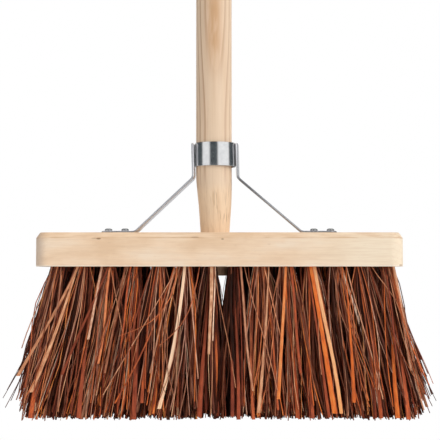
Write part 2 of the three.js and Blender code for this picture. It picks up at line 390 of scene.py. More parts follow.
def dullZinc():
    collarMiddle = -0.00345
    footUnderside = 0.1446
    material, paint = newMaterial("dullZinc")
    x, _, z = axesOf(paint, objectPlace(paint))
    reach = paint.maths("ABSOLUTE", x - collarMiddle)
    cloud = noise(paint, objectPlace(paint), 420, 3)
    drag = noise(paint, objectPlace(paint, stretch=(1, 6, 1)), 2400, 2)
    tone = cloud.colours((0.3, (0.55, 0.555, 0.59)), (0.7, (0.64, 0.645, 0.68)))
    rightSide = x.window(-0.004, 0.004)
    tone = (rightSide * 0.55).mixed(tone, (0.31, 0.315, 0.33, 1))  # painted shade: the right stay is greyer
    shaded = x.window(0.012, 0.017) * x.window(0.046, 0.018) * z.window(0.1895, 0.187)
    tone = (shaded * 0.7).mixed(tone, (0.1, 0.1, 0.105, 1))  # and darkest at the top of its arm
    paintedLightSeat = reach.window(0.0173, 0.0168) * z.window(0.186, 0.189)
    tone = paintedLightSeat.mixed(tone, (0.86, 0.865, 0.89, 1))  # painted light: the tabs' inner faces are near white and matte, so the collar's flanks reflect them lighter
    paintedFootShade = z.window(footUnderside + 0.0007, footUnderside)
    tone = (paintedFootShade * 0.6).mixed(tone, (0.22, 0.17, 0.13, 1))  # painted shade along the feet's lowest edge, where they sit on the stock
    finishWith(
        paint,
        base_color=tone,
        metallic=paintedLightSeat.window(0.0, 1.0, 0.9, 0.0),
        roughness=drag.window(0.3, 0.7, 0.2, 0.32) + paintedLightSeat * 0.4,
        normal=bumped(paint, drag, 0.1, 0.0002),
    )
    return material


# Plant fibre: each stalk carries its own tone and hue, and streaks run along it

def plantFibre():
    material, paint = newMaterial("plantFibre")
    tone, hue, rim = (
        paint.node("ShaderNodeAttribute", {"attribute_name": name}, output="Fac")
        for name in ("tone", "hue", "rim")
    )
    height = axesOf(paint, objectPlace(paint))[2]
    along = paint.node("ShaderNodeUVMap", {"uv_map": "stalk"})
    fine = paint.node("ShaderNodeMapping", values={"Vector": along, "Scale": (7, 14, 1)})
    broad = paint.node("ShaderNodeMapping", values={"Vector": along, "Scale": (0.8, 12, 1)})
    streaks = noise(paint, fine, 1.0, 3, 0.6)
    blotches = noise(paint, broad, 1.0, 2)
    nearTip = height.window(0.05, 0.008)
    # rim paints shade along both edges of each stalk, as on a rounded stalk
    rim = rim.window(0.55, 1.0)
    shade = tone + (streaks - 0.5) * 0.6 + (blotches - 0.5) * 0.38 + nearTip * 0.03 - rim * 0.22
    brown = shade.colours(
        (0.0, (0.018, 0.003, 0.001)),
        (0.35, (0.112, 0.025, 0.013)),
        (0.6, (0.27, 0.092, 0.057)),
        (0.8, (0.53, 0.25, 0.165)),
        (1.0, (1.0, 0.74, 0.55)),
    )
    straw = shade.colours(
        (0.0, (0.020, 0.004, 0.001)),
        (0.35, (0.13, 0.031, 0.013)),
        (0.6, (0.34, 0.112, 0.054)),
        (0.8, (0.64, 0.27, 0.135)),
        (1.0, (0.99, 0.61, 0.345)),
    )
    red = shade.colours(
        (0.0, (0.020, 0.004, 0.002)),
        (0.35, (0.16, 0.026, 0.011)),
        (0.6, (0.41, 0.085, 0.035)),
        (0.8, (0.87, 0.18, 0.033)),
        (1.0, (0.97, 0.37, 0.095)),
    )
    hue = hue + nearTip * 0.1
    colour = hue.window(0.0, 0.5).mixed(brown, straw)
    colour = hue.window(0.5, 1.0).mixed(colour, red)
    finishWith(
        paint,
        base_color=colour,
        roughness=streaks.window(0.25, 0.75, 0.4, 0.62),
        specular_ior_level=0.14,
        normal=bumped(paint, streaks, 0.3, 0.0003),
    )
    return material


woodOfHandle = turnedWood()
woodOfStock = stockWood()
collarZinc = brightZinc("brightZinc", 0.0)
screwZinc = brightZinc("tarnishedZinc", 0.3)
stayZinc = dullZinc()
fibre = plantFibre()
print("finishes mixed")


# Handle: a ring pushed up step by step through tenon, taper, pole and domed end

handleShape = {
    "sides": 72,
    "tenonRadius": 0.01125,
    "tenonEasing": 0.0006,
    "taperTop": 0.1835,
    "taperSteps": 16,
    "taperRunOut": 0.012,  # the rings go on this far past the taper
    "shoulderSoftness": 0.0028,
    "taperShift": 0.0009,  # the hand-cut taper leaves the pole's middle line by this much
    "shiftFrom": 0.194,
    "shiftTo": 0.162,
    "poleRings": (0.25, 0.45, 0.65, 0.85, 1.05, 1.25),
    "domeHeight": 0.009,
    "domeSteps": 9,
}


def handleRing(z, radius, stockTop):  # height, radius and sideways shift of one ring
    shape = handleShape
    slope = (radius - shape["tenonRadius"]) / (shape["taperTop"] - stockTop)
    soft = shape["shoulderSoftness"]
    size = radius - slope * soft * math.log1p(math.exp((shape["taperTop"] - z) / soft))
    share = min(1, max(0, (shape["shiftFrom"] - z) / (shape["shiftFrom"] - shape["shiftTo"])))
    return z, max(size, shape["tenonRadius"]), shape["taperShift"] * share * share * (3 - 2 * share)


def makeHandle():
    shape = handleShape
    low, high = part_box("handle")
    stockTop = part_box("stock")[1].z
    middle = (low.x + high.x) / 2
    radius = (high.x - low.x) / 2
    rings = [
        (low.z, shape["tenonRadius"] - shape["tenonEasing"], shape["taperShift"]),
        (low.z + shape["tenonEasing"], shape["tenonRadius"], shape["taperShift"]),
    ]
    for i in range(shape["taperSteps"] + 1):
        z = stockTop + i / shape["taperSteps"] * (shape["taperTop"] + shape["taperRunOut"] - stockTop)
        rings.append(handleRing(z, radius, stockTop))
    rings += [(z, radius, 0.0) for z in shape["poleRings"]]
    dome = shape["domeHeight"]
    for i in range(shape["domeSteps"]):
        turn = i / shape["domeSteps"] * math.pi / 2
        rings.append((high.z - dome + dome * math.sin(turn), radius * math.cos(turn), 0.0))
    pickNone()
    bpy.ops.mesh.primitive_circle_add(
        vertices=shape["sides"], radius=rings[0][1], fill_type="NGON",
        location=(middle + rings[0][2], 0, rings[0][0]),
    )
    pole = pickOnly(bpy.context.object)
    bpy.ops.object.transform_apply(location=True)
    startEdit(pole)
    bpy.ops.mesh.select_all(action="SELECT")
    for (z, size, shift), (nextZ, nextSize, nextShift) in zip(rings, rings[1:]):
        pushUp((nextShift - shift, 0, nextZ - z))
        grow = nextSize / size
        bpy.ops.transform.resize(value=(grow, grow, 1), center_override=(middle + nextShift, 0, nextZ))
    bpy.ops.mesh.poke()
    bpy.ops.mesh.select_all(action="SELECT")
    bpy.ops.mesh.normals_make_consistent(inside=False)
    endEdit()
    settle(pole, "handlePole", woodOfHandle, ["handle"], 40)


# Stock: a block with its upright edges rounded, its top edge chamfered and every edge eased

stockShape = {
    "cornerRadius": 0.011,
    "cornerSteps": 12,
    "chamferInset": 0.003,
    "chamferHeight": 0.0043,
    "easing": 0.0004,
}


def makeStock():
    low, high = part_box("stock")
    shoulder = high.z - stockShape["chamferHeight"]
    pickNone()
    bpy.ops.mesh.primitive_cube_add(
        size=1, location=(0, 0, (low.z + shoulder) / 2),
        scale=(high.x - low.x, high.y - low.y, shoulder - low.z),
    )
    block = pickOnly(bpy.context.object)
    bpy.ops.object.transform_apply(location=True, scale=True)
    startEdit(block, "EDGE")
    pick(block, "edges", lambda e: abs(e.verts[0].co.z - e.verts[1].co.z) > 0.01)
    bpy.ops.mesh.bevel(offset=stockShape["cornerRadius"], segments=stockShape["cornerSteps"], affect="EDGES")
    bpy.ops.mesh.select_mode(type="FACE")
    pick(block, "faces", lambda f: f.normal.z > 0.9)
    bpy.ops.mesh.inset(thickness=stockShape["chamferInset"], depth=stockShape["chamferHeight"])
    endEdit()
    easeEdges(block, stockShape["easing"], 3, 28)
    settle(block, "stockBlock", woodOfStock, ["stock"], 24)


# Collar: a band of strip steel round the handle

collarShape = {
    "sides": 96,
    "wall": 0.0009,
    "easing": 0.0002,
    "opening": (0.0007, 0.00027),  # how far the lower and upper edge spring out to the right stay
}


def openBand(band, low, high):  # the left side stays at the left stay
    shape = bmesh.from_edit_mesh(band.data)
    lower, upper = collarShape["opening"]
    for v in shape.verts:
        rise = (v.co.z - low.z) / (high.z - low.z)
        v.co.x += (v.co.x - low.x) / (high.x - low.x) * (lower + (upper - lower) * rise)
    bmesh.update_edit_mesh(band.data)


def makeCollar():
    low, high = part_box("collar")
    radius = (high.x - low.x) / 2
    pickNone()
    bpy.ops.mesh.primitive_circle_add(
        vertices=collarShape["sides"], radius=radius, fill_type="NOTHING",
        location=((low.x + high.x) / 2, (low.y + high.y) / 2, low.z),
    )
    band = pickOnly(bpy.context.object)
    bpy.ops.object.transform_apply(location=True)
    startEdit(band, "EDGE")
    bpy.ops.mesh.select_all(action="SELECT")
    pushUp((0, 0, high.z - low.z))
    openBand(band, low, high)
    bpy.ops.mesh.select_all(action="SELECT")
    bpy.ops.mesh.normals_make_consistent(inside=False)
    endEdit()
    useModifier(band, "SOLIDIFY", thickness=collarShape["wall"], offset=-1)
    easeEdges(band, collarShape["easing"], 2)
    settle(band, "collarBand", collarZinc, ["collar"], 40)


# Stays: flat strap pushed along foot, bend, slanting arm, bend and tab

stayShape = {
    "thickness": 0.0019,
    "footBend": {-1: 0.0655, 1: 0.0646},  # the hand-bent stays differ a little
    "tabBend": {-1: 0.1877, 1: 0.1876},
    "tabShift": {-1: (0.0003, -0.0004), 1: (0.0010, 0.0003)},  # of the tab's low and top end
    "turn": {-1: 0.06, 1: 0.087},  # how far a point moves right for its depth
    "bendReach": 0.0024,
    "bendSteps": 5,
    "footCorner": 0.004,
    "tabCorner": 0.002,
    "easing": 0.0009,
}


def turnStrap(strap, side):  # the front edge moves left and the rear edge right
    shape = bmesh.from_edit_mesh(strap.data)
    for v in shape.verts:
        v.co.x += stayShape["turn"][side] * v.co.y
    bmesh.update_edit_mesh(strap.data)


def makeStay(side, node):
    low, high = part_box(node)
    half = stayShape["thickness"] / 2
    footEnd, tabX = (low.x, high.x - half) if side < 0 else (high.x, low.x + half)
    corners = [
        Vector((footEnd, low.y, low.z + half)),
        Vector((side * stayShape["footBend"][side], low.y, low.z + half)),
        Vector((tabX + stayShape["tabShift"][side][0], low.y, stayShape["tabBend"][side])),
        Vector((tabX + stayShape["tabShift"][side][1], low.y, high.z)),
    ]
    line = [corners[0]]
    for before, corner, after in zip(corners, corners[1:], corners[2:]):
        start = corner + (before - corner).normalized() * stayShape["bendReach"]
        end = corner + (after - corner).normalized() * stayShape["bendReach"]
        for i in range(stayShape["bendSteps"] + 1):
            share = i / stayShape["bendSteps"]
            line.append(start.lerp(corner, share).lerp(corner.lerp(end, share), share))
    line.append(corners[3])
    pickNone()
    bpy.ops.mesh.primitive_plane_add(size=1)
    strap = pickOnly(bpy.context.object)
    startEdit(strap, "VERT")
    pick(strap, "verts", lambda v: v.co.x > 0)
    bpy.ops.mesh.delete(type="VERT")
    bpy.ops.mesh.select_all(action="SELECT")
    bpy.ops.transform.resize(value=(1, high.y - low.y, 1), center_override=(0, 0, 0))
    bpy.ops.transform.translate(value=line[0] + Vector((0.5, (high.y - low.y) / 2, 0)))
    bpy.ops.mesh.select_mode(type="EDGE")
    bpy.ops.mesh.select_all(action="SELECT")
    for here, there in zip(line, line[1:]):
        pushUp(tuple(there - here))
    bpy.ops.mesh.select_mode(type="VERT")
    nearly = 1e-5
    pick(strap, "verts", lambda v: abs(v.co.x - footEnd) < nearly)
    bpy.ops.mesh.bevel(offset=stayShape["footCorner"], segments=6, affect="VERTICES")
    pick(strap, "verts", lambda v: abs(v.co.z - high.z) < nearly)
    bpy.ops.mesh.bevel(offset=stayShape["tabCorner"], segments=4, affect="VERTICES")
    bpy.ops.mesh.select_all(action="DESELECT")
    turnStrap(strap, side)
    endEdit()
    useModifier(strap, "SOLIDIFY", thickness=stayShape["thickness"], offset=0)
    easeEdges(strap, stayShape["easing"], 4)
    name = "leftStayStrap" if side < 0 else "rightStayStrap"
    settle(strap, name, stayZinc, [node], 40)


# Screws: one pan head with a cross recess, copied to each place

screwShape = {
    "headRadius": 0.003,
    "rim": 0.0008,
    "headHeight": 0.0021,
    "domeSteps": 5,
    "recessSpan": 0.0036,
    "recessWidth": 0.0009,
    "recessDepth": 0.001,
    "shankRadius": 0.0016,
    "shankStub": 0.003,  # what is hidden in the wood isn't made
    "easing": 0.00012,
    "sides": 32,
}


def makeScrewPattern():
    shape = screwShape
    pickNone()
    bpy.ops.mesh.primitive_cylinder_add(
        vertices=shape["sides"], radius=shape["headRadius"], depth=shape["rim"],
        location=(0, 0, shape["rim"] / 2),
    )
    pattern = pickOnly(bpy.context.object)
    bpy.ops.object.transform_apply(location=True)
    startEdit(pattern)
    pick(pattern, "faces", lambda f: f.normal.z > 0.9)
    rise = shape["headHeight"] - shape["rim"]
    for i in range(shape["domeSteps"] - 1):
        here, there = (math.pi / 2 * k / shape["domeSteps"] for k in (i, i + 1))
        bpy.ops.mesh.inset(
            thickness=shape["headRadius"] * (math.cos(here) - math.cos(there)),
            depth=rise * (math.sin(there) - math.sin(here)),
        )
    pick(pattern, "faces", lambda f: f.normal.z < -0.9)
    bpy.ops.mesh.inset(thickness=shape["headRadius"] - shape["shankRadius"])
    pushUp((0, 0, -shape["shankStub"]))
    endEdit()
    cutters = []
    for turn in (0, math.pi / 2):
        pickNone()
        bpy.ops.mesh.primitive_cube_add(
            size=1, location=(0, 0, shape["headHeight"]), rotation=(0, 0, turn),
            scale=(shape["recessSpan"], shape["recessWidth"], 2 * shape["recessDepth"]),
        )
        cutters.append(bpy.context.object)
    for cutter in cutters:
        useModifier(pattern, "BOOLEAN", object=cutter, operation="DIFFERENCE", solver="EXACT")
    for cutter in cutters:
        bpy.data.objects.remove(cutter)
    easeEdges(pattern, shape["easing"], 2)
    return pattern


def makeScrews():
    pattern = makeScrewPattern()
    turns = {
        "left_outer_screw": 0.4,
        "left_inner_screw": 1.1,
        "right_inner_screw": 0.2,
        "right_outer_screw": 0.8,
    }
    for node, turn in turns.items():
        low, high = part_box(node)
        screw = pattern.copy()
        screw.data = pattern.data.copy()
        bpy.context.scene.collection.objects.link(screw)
        screw.location = ((low.x + high.x) / 2, 0, high.z - screwShape["headHeight"])
        screw.rotation_euler = (0, 0, turn)
        settle(screw, node + "Head", screwZinc, [node], 30)
    low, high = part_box("collar_screw")
    pattern.location = ((low.x + high.x) / 2, high.y - screwShape["headHeight"], (low.z + high.z) / 2)
    pattern.rotation_euler = (-math.pi / 2, 0, 0)
    settle(pattern, "collar_screwHead", screwZinc, ["collar_screw"], 30)


# Tufts: stalks that spread from each hole, bent, twisted and trimmed near the floor

tuftShape = {
    "stalks": {"front_row": 92, "middle_row": 72, "back_row": 92},
    "rings": 6,
    "rootRadius": 0.005,
    "rootDepth": 0.004,  # how far a stalk starts inside its hole
    "spreadX": 3.5,
    "spreadY": 2.1,
    "scatter": 0.0042,
    "scatterY": 0.7,  # share of the scatter in depth
    "wildShare": 0.1,
    "wildReach": 0.016,
    "wildLimit": 0.035,
    "flare": 0.0015,  # the end tufts curve outwards by this much
    "edge": (0.1275, 0.24, 1.22),  # half width of the brush under the stock, its lean and its flare
    "rightIn": 0.002,  # the right edge lies this much further in
    "cap": (0.1525, 0.158, 0.007),  # how wide the brush gets on the left and right, give or take this much
    "parted": ("07", "08"),  # the tufts either side of the gap under the handle keep apart
    "partedBow": 0.4,
    "bow": 0.0026,
    "wave": 0.0012,
    "trimLow": 0.0004,
    "trimRagged": 0.0036,
    "frontTrim": 0.0024,  # the front row is worn this much shorter
    "wideFrom": 0.0015,  # of the stalks wider than this, a share broke off a little short
    "brokenShare": 0.35,
    "brokenLength": (0.86, 0.97),
    "rootWidth": (0.65, 0.9),  # share of the width at the tip
    "turn": 0.5,
    "levelHalf": 0.147,  # past this far from the middle the tips stand higher
    "endRise": (0.7, 1.5),
    "sideLimit": 0.1655,
    "depthLimit": 0.046,
    # the middle row is painted darker: painted shade behind the outer rows
    "rowTone": {"front_row": 0.0, "middle_row": -0.12, "back_row": 0.0},
    "dim": (-0.004, 0.013, 0.22),  # painted shade: stalks that end between these places along X, by the gap under the handle, are this much darker
}
stalkKinds = [  # dark and pale are the chances of such a stalk
    {"share": 0.46, "width": (0.0005, 0.0010), "thickness": 0.75, "dark": 0.42, "pale": 0.22},
    {"share": 0.36, "width": (0.0010, 0.0018), "thickness": 0.45, "dark": 0.40, "pale": 0.16},
    {"share": 0.15, "width": (0.0018, 0.0029), "thickness": 0.35, "dark": 0.30, "pale": 0.16},
    {"share": 0.03, "width": (0.0028, 0.0040), "thickness": 0.3, "dark": 0.2, "pale": 0.3},
]
stalkTones = {"dark": (0.0, 0.28), "plain": (0.32, 0.66), "pale": (0.66, 1.02)}
stalkHues = {"redShare": 0.46, "brownTo": 0.55}
looseShape = {  # thin stalks on the outside of a tuft
    "stalks": {"front_row": 13, "middle_row": 0, "back_row": 13},
    "rootSpread": 0.9,
    "rootOut": 0.0045,
    "scatter": 0.012,
    "ragged": 0.014,
    "tipOut": (0.0095, 0.0145),
    "bow": 0.004,
    "bowOut": 0.0015,
    "width": (0.0005, 0.0010),
    "rootWidth": 0.9,
    "thickness": 0.8,
    "turn": 0.4,
    "tone": (0.42, 0.88),
}
strayShape = {  # thin stalks that end along the left and right outline
    "stalks": {-1: 8, 1: 26},
    "root": 0.126,
    "depth": (-0.024, -0.018),
    "fall": (0.03, 0.1),
    "forward": (0.05, 0.16),
    "past": {-1: (-0.003, 0.0), 1: (-0.003, 0.003)},  # how far past the outline they end
    "bow": 0.002,
    "wave": 0.0012,
    "width": (0.0006, 0.0012),
    "thickness": 0.7,
    "tone": (0.15, 0.62),
    "hue": (0.2, 1.0),
}
# The stalks that catch the eye: root X, tip X, tip Z, width at root and at tip, and bow, in mm;
# then tone and hue
frontStalks = [
    (-106, -151, 36, 2.4, 3.4, 1.0, 0.78, 0.5),
    (-107, -141, 24, 1.6, 3.8, 1.5, 0.84, 0.5),
    (-89, -99, 63, 2.1, 2.1, 0.0, 0.84, 0.2),
    (-83, -91, 45, 1.9, 2.1, 0.6, 0.8, 0.75),
    (-67, -76, 53, 1.5, 1.7, 0.5, 0.66, 1.0),
    (-71, -86, 38, 1.8, 2.4, 0.0, 0.62, 0.4),
    (-29, -87, 22, 0.9, 1.0, 0.0, 0.79, 0.35),
    (-33, -78, 16, 1.3, 1.7, 3.0, 0.66, 0.85),
    (-83, -118, 37, 2.0, 2.6, 0.0, 0.45, 0.85),
    (-26, -45, 12, 2.4, 3.3, 2.3, 1.2, 0.25),
    (-24, -16, 34, 1.1, 1.1, 0.0, 0.8, 0.2),
    (-6, -8, 52, 3.4, 2.2, 0.5, 0.86, 0.35),
    (-3, -5, 62, 1.1, 1.1, 0.0, 0.98, 0.2),
    (-33, -52, 38, 1.4, 1.6, -0.6, 0.78, 0.3),
    (51, 44, 19, 2.2, 3.0, 0.0, 0.88, 0.85),
    (38, 29, 9, 1.1, 3.2, 0.8, 0.82, 0.4),
    (16, 25, 25, 1.8, 1.9, -1.0, 0.78, 0.3),
    (54, 61, 38, 2.2, 2.3, 0.0, 0.6, 1.0),
    (33, 47, 62, 1.0, 1.0, 0.0, 0.78, 0.6),
    (132, 144, 40, 2.2, 2.3, 0.5, 0.86, 0.3),
    (132, 146, 47, 1.8, 1.9, -0.5, 0.78, 0.35),
    (96, 122, 19, 1.0, 1.1, 0.0, 0.8, 0.3),
    (114, 136, 88, 0.8, 0.8, 0.0, 0.8, 0.6),
]
crossStalks = [  # the same of stalks that stand off and pass in front of the others
    (68.9, 85.6, 9, 2.8, 4.6, 0.5, 0.81, 1.0),
    (71.6, 90.4, 9, 3.2, 3.0, 1.0, 1.0, 0.72),
    (66.5, 81.4, 6, 1.0, 2.8, 0.5, 0.56, 1.0),
    (-31.4, -75.4, 66, 1.0, 1.0, 10.0, 0.72, 0.78),
    (-14.5, -45, 59, 0.9, 0.9, 6.5, 0.66, 0.78),
    (-84, -72, 68, 0.7, 0.7, 0.0, 0.72, 0.5),
    (18, 43, 26, 0.7, 0.8, 0.0, 0.72, 0.4),
    (47, 27, 30, 0.6, 0.7, 0.0, 0.68, 0.7),
    (-5, 12, 28, 0.7, 0.8, 0.0, 0.7, 0.5),
    (96.5, 100, 17, 0.3, 3.4, 0.0, 0.76, 1.0),
]
wisps = [  # the same of thin dark stalks outside the outline
    (-119, -160, 25, 0.7, 0.6, 3.0, 0.12, 0.3),
    (-118, -163, 19, 0.7, 0.6, 3.0, 0.2, 0.5),
    (-120, -157, 17, 0.8, 0.7, 2.5, 0.1, 0.3),
    (-119, -161, 12, 0.7, 0.7, 3.5, 0.25, 0.6),
    (-117, -157, 30, 0.8, 0.7, 2.5, 0.2, 0.8),
    (122, 161, 22, 0.7, 0.6, -3.0, 0.2, 0.4),
    (123, 163, 17, 0.7, 0.6, -3.0, 0.14, 0.3),
    (121, 160, 13, 0.8, 0.7, -2.5, 0.3, 0.7),
    (122, 158, 8, 0.8, 0.7, -2.0, 0.25, 0.6),
]
lowBlades = [  # the same of blades that stand inside the tuft and come to the front near their tips
    (-128, -141, 5, 0.6, 4.4, 0.0, 0.62, 0.9),
    (-96, -105, 5, 0.6, 4.2, 0.0, 0.55, 0.9),
    (-60, -64, 4, 0.6, 4.6, 0.0, 0.5, 0.95),
    (-52, -58, 16, 0.5, 3.0, 0.0, 0.6, 1.0),
    (-7, -15, 6, 0.6, 4.6, 0.0, 0.5, 1.0),
    (9, 9.5, 6, 0.6, 3.4, 0.0, 0.4, 1.0),
    (12, 14.2, 4, 0.6, 3.6, 0.0, 0.5, 0.95),
    (22, 25.4, 4, 0.5, 3.0, 0.0, 0.62, 0.8),
    (51, 58.5, 5, 0.6, 4.0, 0.0, 0.62, 1.0),
    (62, 69.5, 5, 0.6, 3.6, 0.0, 0.55, 0.9),
    (108, 116, 5, 0.6, 3.4, 0.0, 0.5, 0.9),
    (112, 120.5, 5, 0.6, 3.6, 0.0, 0.58, 0.95),
    (128, 133, 5, 0.6, 4.2, 0.5, 0.8, 1.0),
    (128, 141, 4, 0.6, 4.8, 0.5, 0.62, 1.0),
]
socketStalks = [  # the same of dark stalks of the middle row beside the handle's low end
    (-16.7, -15, 9, 3.2, 3.4, 0.0, 0.1, 0.2),
    (-15.5, -15, 8, 2.6, 2.6, 0.0, 0.08, 0.3),
    (-35.6, -33, 10, 3.0, 3.0, 0.0, 0.08, 0.3),
    (-37.2, -38, 10, 2.6, 2.6, 0.0, 0.1, 0.3),
    (-17.2, -19, 6, 2.6, 3.0, 1.0, 0.16, 0.4),
    (-19.0, -12, 7, 2.8, 3.0, 0.5, 0.06, 0.3),
]
chosenStalks = {  # for each row: which stalks, the depth of their roots and how far they lean forward
    "front_row": [
        (frontStalks, -0.0236, 0.0205),
        (lowBlades, -0.0165, 0.0260),
        (crossStalks, -0.0236, 0.0500),
        (wisps, -0.0230, 0.0120),
    ],
    "middle_row": [(socketStalks, 0.0, 0.0)],
    "back_row": [],
}
chosenShape = {
    "thickness": 0.35,
    "forwardBow": -1,  # in mm
    "wave": 0.0004,
    "turn": 0.2,
}
shiftRange = 50  # each stalk takes its streaks from another part of the pattern


def rootAndTip(node):
    nearly = 1e-4
    points = np.array([v.co for v in frame["nodes"][node].data.vertices])
    root = points[points[:, 2] > points[:, 2].max() - nearly].mean(0)
    tip = points[points[:, 2] < points[:, 2].min() + nearly].mean(0)
    return root, tip


def stalkPattern():  # one stalk as a hexagonal bar from z = 0 to 1, modelled once
    pickNone()
    bpy.ops.mesh.primitive_circle_add(vertices=6, radius=0.5, fill_type="NGON")
    bar = pickOnly(bpy.context.object)
    startEdit(bar)
    bpy.ops.mesh.select_all(action="SELECT")
    for _ in range(tuftShape["rings"]):
        pushUp((0, 0, 1 / tuftShape["rings"]))
    bpy.ops.mesh.select_all(action="SELECT")
    bpy.ops.mesh.normals_make_consistent(inside=False)
    endEdit()
    points = np.array([v.co for v in bar.data.vertices])
    faces = [list(f.vertices)[::-1] for f in bar.data.polygons]  # the bar is hung upside down
    bpy.data.objects.remove(bar)
    return points, faces


def withinEdge(x, fall, inside):  # keeps a point inside the brush's outline
    half, lean, flare = tuftShape["edge"]
    left, right, ragged = tuftShape["cap"]
    edge = half + lean * fall + flare * fall * fall
    rightEdge = edge - tuftShape["rightIn"]
    return max(-min(edge, left - ragged * inside), min(rightEdge, right - ragged * inside, x))


def holdIn(start, end, bow, chance):  # the same for a stalk's tip and the middle of its bow
    inside = chance.random()
    end[0] = withinEdge(end[0], start[2] - end[2], inside)
    middle = (start + end) / 2
    bow[0] = withinEdge(middle[0] + bow[0], start[2] - middle[2], inside) - middle[0]


class Bundle:  # gathers stalks into one mesh
    def __init__(self):
        self.pattern, self.faces = stalkPattern()
        self.points, self.loops, self.tones, self.hues, self.rims, self.uvs = [], [], [], [], [], []

    def addStalk(self, root, tip, widths, thickness, bow, wave, turn, twist, tone, hue, shift):
        along = self.pattern[:, 2]
        turns = turn + twist * along
        width = widths[0] + (widths[1] - widths[0]) * along
        flatX = self.pattern[:, 0] * width
        flatY = self.pattern[:, 1] * width * thickness
        line = root + np.outer(along, tip - root) + np.outer(np.sin(np.pi * along), bow)
        line[:, 0] += wave * np.sin(2 * np.pi * along)
        line[:, 0] += flatX * np.cos(turns) - flatY * np.sin(turns)
        line[:, 1] += flatX * np.sin(turns) + flatY * np.cos(turns)
        first = len(self.points) * len(line)
        self.points.append(line)
        self.loops += [[first + i for i in face] for face in self.faces]
        self.tones += [tone] * len(line)
        self.hues += [hue] * len(line)
        # rim is 1 at a stalk's edges, where the finish paints shade
        self.rims += list(np.abs(self.pattern[:, 0]) * 2)
        around = np.arctan2(self.pattern[:, 1], self.pattern[:, 0]) / (2 * np.pi) + 0.5
        around = around * widths[1] / 0.001  # in mm of the stalk's width
        self.uvs.append(np.c_[around + shift, along + shift])

    def makePiece(self, name):
        mesh = bpy.data.meshes.new(name)
        mesh.from_pydata(np.concatenate(self.points).tolist(), [], self.loops)
        for label, values in (("tone", self.tones), ("hue", self.hues), ("rim", self.rims)):
            attribute = mesh.attributes.new(label, "FLOAT", "POINT")
            attribute.data.foreach_set("value", np.array(values, np.float32))
        corners = np.zeros(len(mesh.loops), np.int32)
        mesh.loops.foreach_get("vertex_index", corners)
        uvMap = mesh.uv_layers.new(name="stalk")
        uvMap.data.foreach_set("uv", np.concatenate(self.uvs)[corners].astype(np.float32).ravel())
        mesh.materials.append(fibre)
        piece = bpy.data.objects.new(name, mesh)
        bpy.context.scene.collection.objects.link(piece)
        pickOnly(piece)
        bpy.ops.object.shade_smooth_by_angle(angle=math.radians(65))
        return piece


def pickHue(redFrom, chance):
    if chance.random() < stalkHues["redShare"]:
        return chance.uniform(redFrom, 1.0)
    return chance.uniform(0, stalkHues["brownTo"])


def withinSides(x):
    return max(-tuftShape["sideLimit"], min(tuftShape["sideLimit"], x))


def riseAtEnds(x, chance):
    return max(0, abs(x) - tuftShape["levelHalf"]) * chance.uniform(*tuftShape["endRise"])


def fillTuft(bundle, row, node, chance):
    shape = tuftShape
    shares = [kind["share"] for kind in stalkKinds]
    dimFrom, dimTo, paintedShadeDepth = shape["dim"]
    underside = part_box("stock")[0].z
    root, tip = rootAndTip(node)
    outward = tip[0] / shape["sideLimit"]
    parted = row != "middle_row" and node.endswith(shape["parted"])
    for _ in range(shape["stalks"][row]):
        kind = chance.choices(stalkKinds, shares)[0]
        width = chance.uniform(*kind["width"])
        angle = chance.uniform(0, 2 * math.pi)
        away = shape["rootRadius"] * math.sqrt(chance.random())
        offset = np.array([math.cos(angle), math.sin(angle)]) * away
        start = np.array([root[0] + offset[0], root[1] + offset[1], underside + shape["rootDepth"]])
        endX = tip[0] + offset[0] * shape["spreadX"] + chance.gauss(0, shape["scatter"])
        if not parted and chance.random() < shape["wildShare"]:
            wild = chance.gauss(0, shape["wildReach"])
            endX += max(-shape["wildLimit"], min(shape["wildLimit"], wild))
        endX = withinSides(endX)
        endY = tip[1] + offset[1] * shape["spreadY"] + chance.gauss(0, shape["scatter"] * shape["scatterY"])
        endY = max(-shape["depthLimit"], min(shape["depthLimit"], endY))
        endZ = shape["trimLow"] + abs(chance.gauss(0, shape["trimRagged"]))
        if row == "front_row":
            endZ += shape["frontTrim"]
        endZ += riseAtEnds(endX, chance)
        end = np.array([endX, endY, endZ])
        if kind["width"][0] > shape["wideFrom"] and chance.random() < shape["brokenShare"]:
            end = start + (end - start) * chance.uniform(*shape["brokenLength"])
        bowShare = shape["partedBow"] if parted else 1
        bowX = chance.gauss(0, shape["bow"]) * bowShare - outward * abs(outward) * shape["flare"]
        bow = np.array([bowX, chance.gauss(0, shape["bow"]), 0])
        holdIn(start, end, bow, chance)
        draw = chance.random()
        label = "dark" if draw < kind["dark"] else "pale" if draw > 1 - kind["pale"] else "plain"
        tone = chance.uniform(*stalkTones[label]) + shape["rowTone"][row]
        # painted shade for the stalks by the gap under the handle
        if dimFrom < end[0] < dimTo:
            tone -= paintedShadeDepth
        hue = pickHue(0.75, chance)
        bundle.addStalk(
            start, end, (width * chance.uniform(*shape["rootWidth"]), width), kind["thickness"], bow,
            chance.gauss(0, shape["wave"]), chance.gauss(0, shape["turn"]), chance.gauss(0, shape["turn"]),
            tone, hue, chance.uniform(0, shiftRange),
        )


